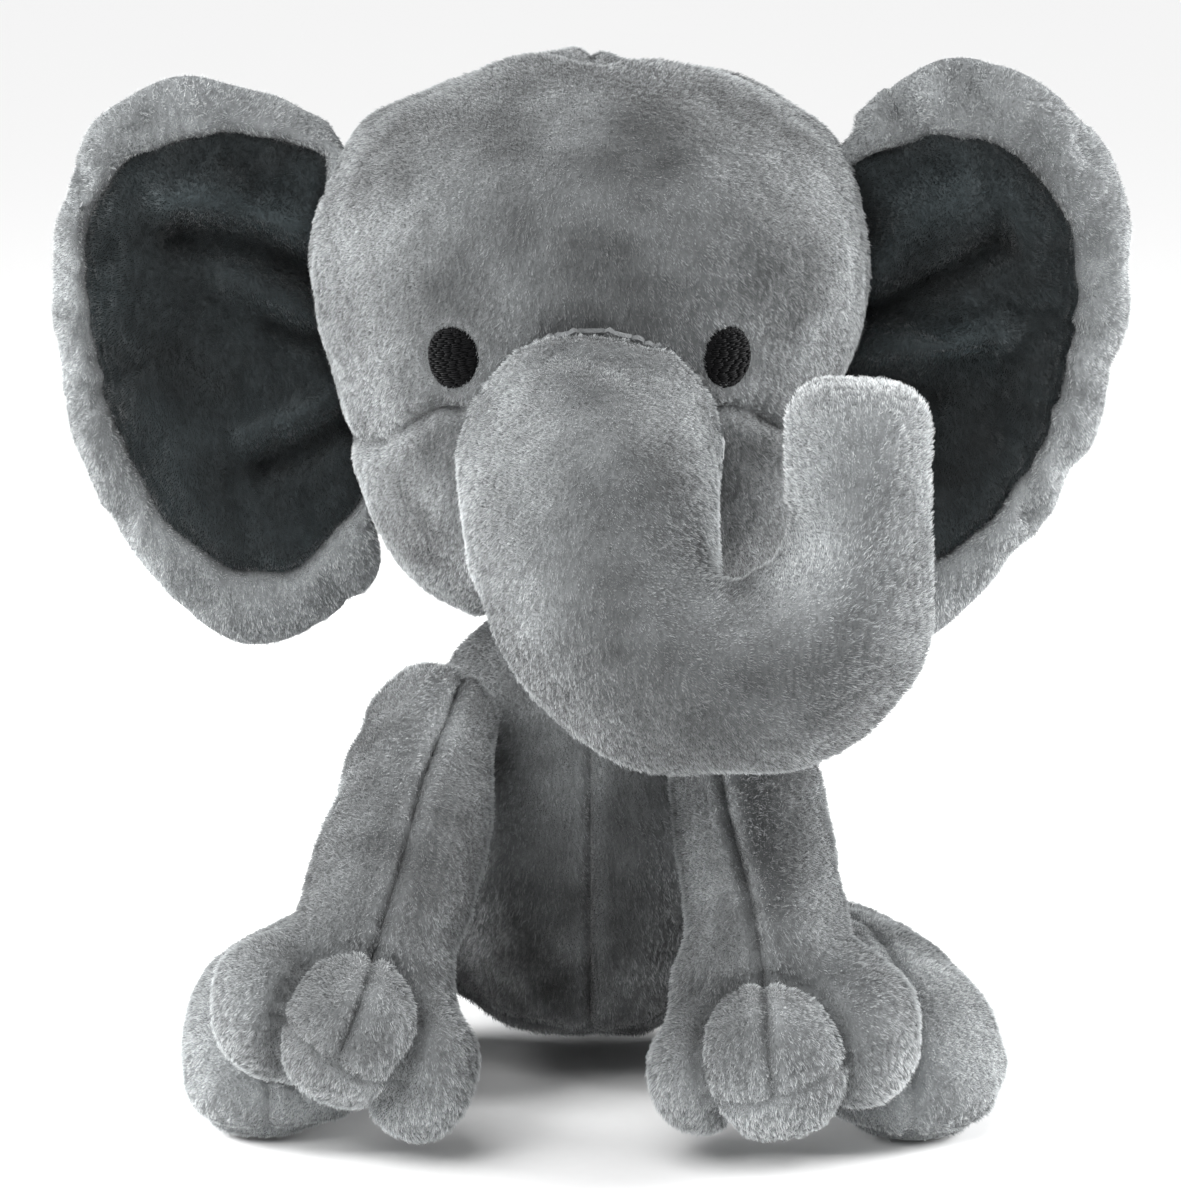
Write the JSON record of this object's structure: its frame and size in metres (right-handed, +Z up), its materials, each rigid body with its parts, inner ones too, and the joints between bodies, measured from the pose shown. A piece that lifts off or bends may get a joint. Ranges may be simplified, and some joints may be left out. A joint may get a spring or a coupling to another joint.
{
  "type": "stuffed elephant",
  "caption": "Soft seated elephant in short grey plush, with floppy dark-lined ears, embroidered eyes, paws with sewn toes, and a raised curling trunk.",
  "frame": {"origin": "on the resting plane, under the middle of the seat", "axes": "+Z up, -Y the way the elephant faces, +X its own left"},
  "size_m": [0.2473, 0.1931, 0.2328],
  "materials": {
    "plush_grey": "short brushed pile, soft sheen",
    "plush_charcoal": "short dense pile, matte",
    "embroidery_black": "satin stitched thread",
    "polyester_fill": "loose fibre, hidden",
    "pellet_bag": "plain woven cotton over plastic pellets, hidden"
  },
  "bodies": {
    "torso": {"torso_base_panel": "plush_grey", "torso_front_left_panel": "plush_grey", "torso_front_right_panel": "plush_grey", "torso_back_left_panel": "plush_grey", "torso_back_right_panel": "plush_grey", "torso_stuffing": "polyester_fill", "seat_pellet_bag": "pellet_bag"},
    "neck": {"neck_seam_band": "plush_grey"},
    "head": {"forehead_panel": "plush_grey", "head_back_left_panel": "plush_grey", "head_back_right_panel": "plush_grey", "cheek_left_panel": "plush_grey", "cheek_right_panel": "plush_grey", "chin_panel": "plush_grey", "head_stuffing": "polyester_fill", "eye_left_embroidery": "embroidery_black", "eye_right_embroidery": "embroidery_black", "trunk_upper_front_panel": "plush_grey", "trunk_upper_back_panel": "plush_grey", "trunk_upper_stuffing": "polyester_fill"},
    "trunk_end": {"trunk_lower_front_panel": "plush_grey", "trunk_lower_back_panel": "plush_grey", "trunk_lower_stuffing": "polyester_fill"},
    "ear_left": {"ear_left_back_panel": "plush_grey", "ear_left_rim_panel": "plush_grey", "ear_left_inner_panel": "plush_charcoal", "ear_left_batting": "polyester_fill"},
    "ear_right": {"ear_right_back_panel": "plush_grey", "ear_right_rim_panel": "plush_grey", "ear_right_inner_panel": "plush_charcoal", "ear_right_batting": "polyester_fill"},
    "arm_left": {"arm_left_outer_panel": "plush_grey", "arm_left_inner_panel": "plush_grey", "arm_left_back_panel": "plush_grey", "arm_left_stuffing": "polyester_fill", "paw_left_sole_panel": "plush_grey"},
    "arm_right": {"arm_right_outer_panel": "plush_grey", "arm_right_inner_panel": "plush_grey", "arm_right_back_panel": "plush_grey", "arm_right_stuffing": "polyester_fill", "paw_right_sole_panel": "plush_grey"},
    "leg_left": {"leg_left_outer_panel": "plush_grey", "leg_left_inner_panel": "plush_grey", "leg_left_sole_panel": "plush_grey", "leg_left_stuffing": "polyester_fill"},
    "leg_right": {"leg_right_outer_panel": "plush_grey", "leg_right_inner_panel": "plush_grey", "leg_right_sole_panel": "plush_grey", "leg_right_stuffing": "polyester_fill"},
    "tail": {"tail_panel": "plush_grey", "tail_stuffing": "polyester_fill"}
  },
  "joints": [
    {"name": "head_turn", "type": "hinge", "parent": "torso", "child": "neck", "pos_m": [0, 0.004, 0.092], "axis": [0, 0, 1], "range_deg": [-30, 30], "stiffness_Nm_per_rad": 0.4},
    {"name": "head_nod", "type": "hinge", "parent": "neck", "child": "head", "pos_m": [0, 0.004, 0.092], "axis": [-1, 0, 0], "range_deg": [-10, 8], "stiffness_Nm_per_rad": 1.5},
    {"name": "trunk_curl", "type": "hinge", "parent": "head", "child": "trunk_end", "pos_m": [0.022, -0.097, 0.108], "axis": [0, -1, 0], "range_deg": [-20, 5], "stiffness_Nm_per_rad": 0.15},
    {"name": "ear_left_fold", "type": "hinge", "parent": "head", "child": "ear_left", "pos_m": [0.0615, 0.0075, 0.16], "axis": [-0.0457, 0, -0.999], "range_deg": [-25, 35], "stiffness_Nm_per_rad": 0.03},
    {"name": "ear_right_fold", "type": "hinge", "parent": "head", "child": "ear_right", "pos_m": [-0.0615, 0.0075, 0.16], "axis": [-0.0457, 0, 0.999], "range_deg": [-25, 35], "stiffness_Nm_per_rad": 0.03},
    {"name": "arm_left_lift", "type": "hinge", "parent": "torso", "child": "arm_left", "pos_m": [0.033, -0.035, 0.086], "axis": [-1, 0, 0], "range_deg": [0, 22], "stiffness_Nm_per_rad": 0.15},
    {"name": "arm_right_lift", "type": "hinge", "parent": "torso", "child": "arm_right", "pos_m": [-0.034, -0.035, 0.086], "axis": [-1, 0, 0], "range_deg": [0, 22], "stiffness_Nm_per_rad": 0.15},
    {"name": "leg_left_spread", "type": "hinge", "parent": "torso", "child": "leg_left", "pos_m": [0.054, 0.003, 0.022], "axis": [0, 0, 1], "range_deg": [0, 25], "stiffness_Nm_per_rad": 0.15},
    {"name": "leg_right_spread", "type": "hinge", "parent": "torso", "child": "leg_right", "pos_m": [-0.054, 0.003, 0.022], "axis": [0, 0, -1], "range_deg": [0, 25], "stiffness_Nm_per_rad": 0.15},
    {"name": "tail_wag", "type": "hinge", "parent": "torso", "child": "tail", "pos_m": [0, 0.0658, 0.031], "axis": [0, 1, 0], "range_deg": [-30, 30], "stiffness_Nm_per_rad": 0.003}
  ]
}
